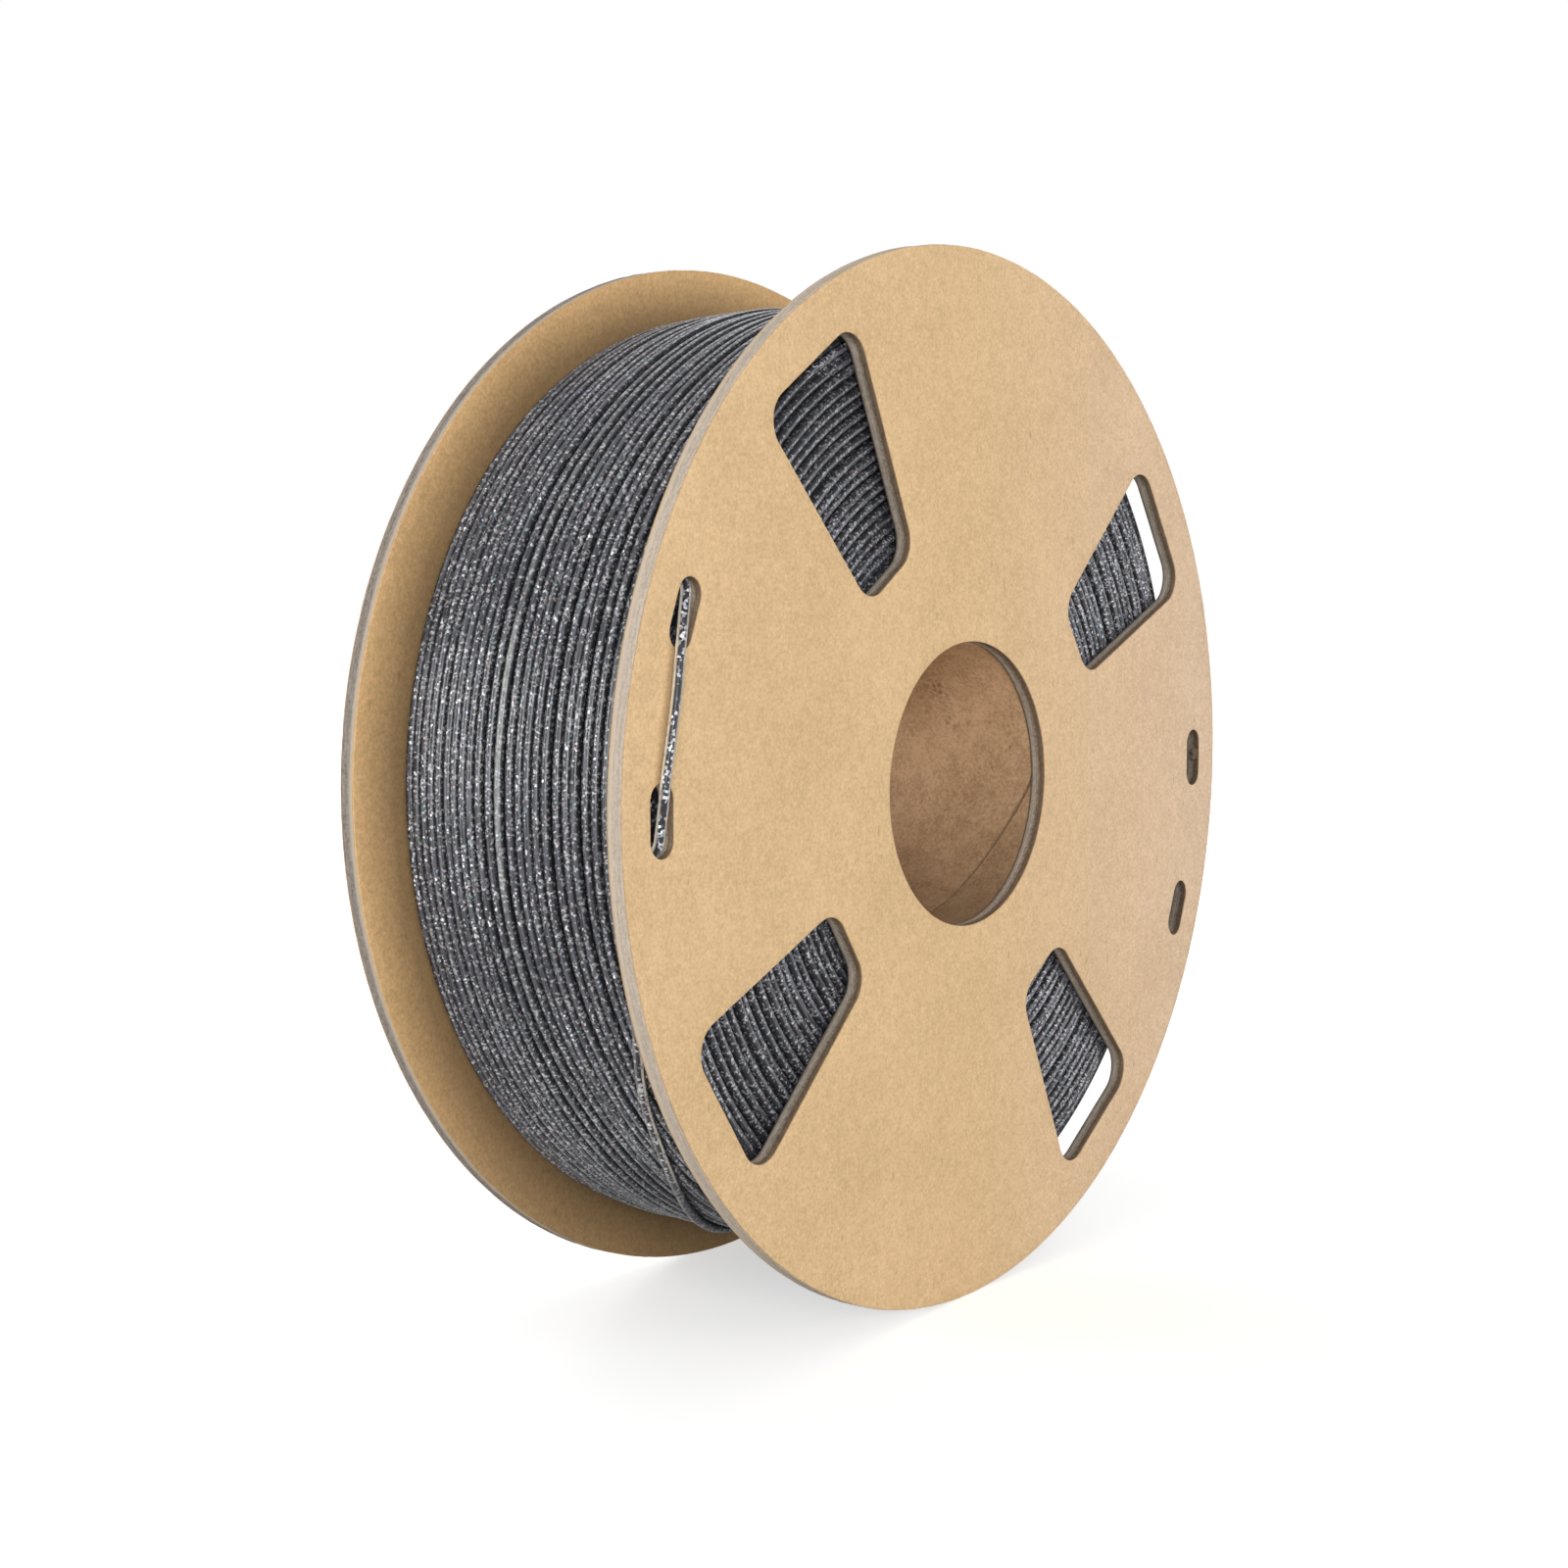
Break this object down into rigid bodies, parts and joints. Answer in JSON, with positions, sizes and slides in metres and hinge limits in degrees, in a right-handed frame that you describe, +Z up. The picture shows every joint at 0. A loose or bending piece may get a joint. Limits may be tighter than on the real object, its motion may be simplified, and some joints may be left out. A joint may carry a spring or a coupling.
{
  "type": "filament spool",
  "caption": "Cardboard spool with layered flanges on a spiral-wound tube, nearly full of thin filament, its free end threaded through slots in the front flange.",
  "frame": {"origin": "on the axis of the bore, midway between the two flanges' outer faces", "axes": "+Y along the bore from the front flange, which has the windows, to the rear flange; +Z up as the spool stands on its rims; +X right seen from the front"},
  "size_m": [0.2, 0.0664, 0.2],
  "materials": {
    "kraft_liner": "matte",
    "grey_board": "matte",
    "tube_paper": "matte",
    "tube_board": "matte",
    "adhesive": "satin",
    "filament": "satin"
  },
  "bodies": {
    "root": {"front_outer_liner": "kraft_liner", "front_outer_board": "grey_board", "front_middle_board": "grey_board", "front_inner_board": "grey_board", "front_inner_liner": "kraft_liner", "rear_outer_liner": "kraft_liner", "rear_outer_board": "grey_board", "rear_middle_board": "grey_board", "rear_inner_board": "grey_board", "rear_inner_liner": "kraft_liner", "core_inner_ply": "tube_paper", "core_inner_body": "tube_board", "core_outer_body": "tube_board", "core_outer_ply": "tube_paper", "front_glue_ring": "adhesive", "rear_glue_ring": "adhesive", "filament_inner_layers": "filament", "filament_top_turns": "filament", "filament_rear_turns": "filament", "filament_free_end": "filament"}
  },
  "joints": []
}
